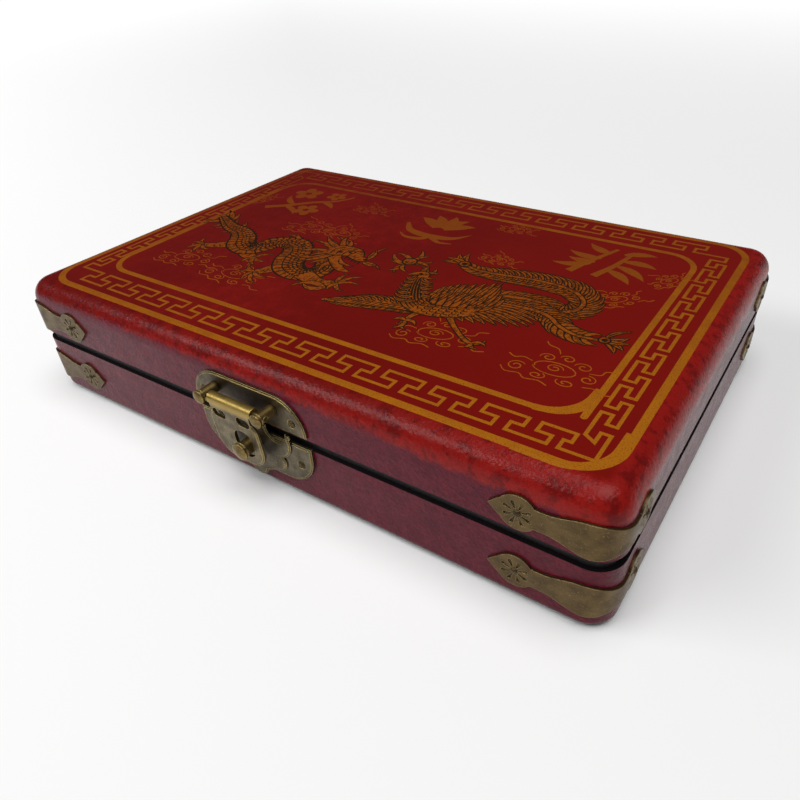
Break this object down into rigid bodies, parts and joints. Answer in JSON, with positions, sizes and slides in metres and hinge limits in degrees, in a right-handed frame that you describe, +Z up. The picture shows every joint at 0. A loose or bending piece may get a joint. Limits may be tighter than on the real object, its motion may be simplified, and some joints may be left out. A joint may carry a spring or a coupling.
{
  "type": "mahjong case",
  "caption": "Flat hinged mahjong case: leather-wrapped wooden box with a gold-printed lid, brass corner straps, butt hinges and a slotted hasp over a knob.",
  "frame": {"origin": "centre of the felt sheet under the closed case, at the level it stands on", "axes": "+X to the right along the long front side that carries the latch, +Y towards the hinges at the back, +Z up"},
  "size_m": [0.2552, 0.185, 0.05],
  "materials": {
    "board_wood": "black-stained edges of the side boards",
    "panel_wood": "plain plywood panel, hidden inside the wrap",
    "base_leather": "dark maroon coated leather, smooth grain with a soft sheen",
    "lid_leather": "deep red coated leather with a gold print on top, rubbed brighter on the edge",
    "felt": "black felt sheet",
    "lining": "dark red cloth",
    "strap_brass": "antique brass sheet, brushed and tarnished, bright on its edges",
    "nail_brass": "antique brass nails with domed heads",
    "latch_brass": "stamped antique brass sheet, grey-green tarnish, bright raised edges",
    "post_brass": "turned antique brass, yellower on its highlights",
    "hinge_brass": "antique brass butt hinges"
  },
  "bodies": {
    "base": {"base_front_board": "board_wood", "base_back_board": "board_wood", "base_left_board": "board_wood", "base_right_board": "board_wood", "base_bottom_board": "panel_wood", "base_wrap": "base_leather", "base_felt": "felt", "base_lining": "lining", "base_strap_front_left": "strap_brass", "base_strap_front_right": "strap_brass", "base_strap_back_left": "strap_brass", "base_strap_back_right": "strap_brass", "base_strap_nails": "nail_brass", "base_latch_plate": "latch_brass", "base_latch_nails": "nail_brass", "catch_plate": "latch_brass", "catch_knob": "post_brass", "left_hinge_base_leaf": "hinge_brass", "left_hinge_pin": "hinge_brass", "right_hinge_base_leaf": "hinge_brass", "right_hinge_pin": "hinge_brass", "base_hinge_screws": "hinge_brass"},
    "lid": {"lid_front_board": "board_wood", "lid_back_board": "board_wood", "lid_left_board": "board_wood", "lid_right_board": "board_wood", "lid_top_board": "panel_wood", "lid_wrap": "lid_leather", "lid_lining": "lining", "lid_strap_front_left": "strap_brass", "lid_strap_front_right": "strap_brass", "lid_strap_back_left": "strap_brass", "lid_strap_back_right": "strap_brass", "lid_strap_nails": "nail_brass", "lid_latch_plate": "latch_brass", "lid_latch_nails": "nail_brass", "left_post": "post_brass", "right_post": "post_brass", "hasp_pin": "post_brass", "left_hinge_lid_leaf": "hinge_brass", "right_hinge_lid_leaf": "hinge_brass", "lid_hinge_screws": "hinge_brass"},
    "hasp": {"hasp": "latch_brass"}
  },
  "joints": [
    {"name": "lid_hinge", "type": "hinge", "parent": "base", "child": "lid", "pos_m": [0, 0.0872, 0.0265], "axis": [-1, 0, 0], "range_deg": [0, 180]},
    {"name": "hasp_hinge", "type": "hinge", "parent": "lid", "child": "hasp", "pos_m": [-0.0027, -0.0907, 0.0366], "axis": [-1, 0, 0], "range_deg": [0, 170]}
  ]
}
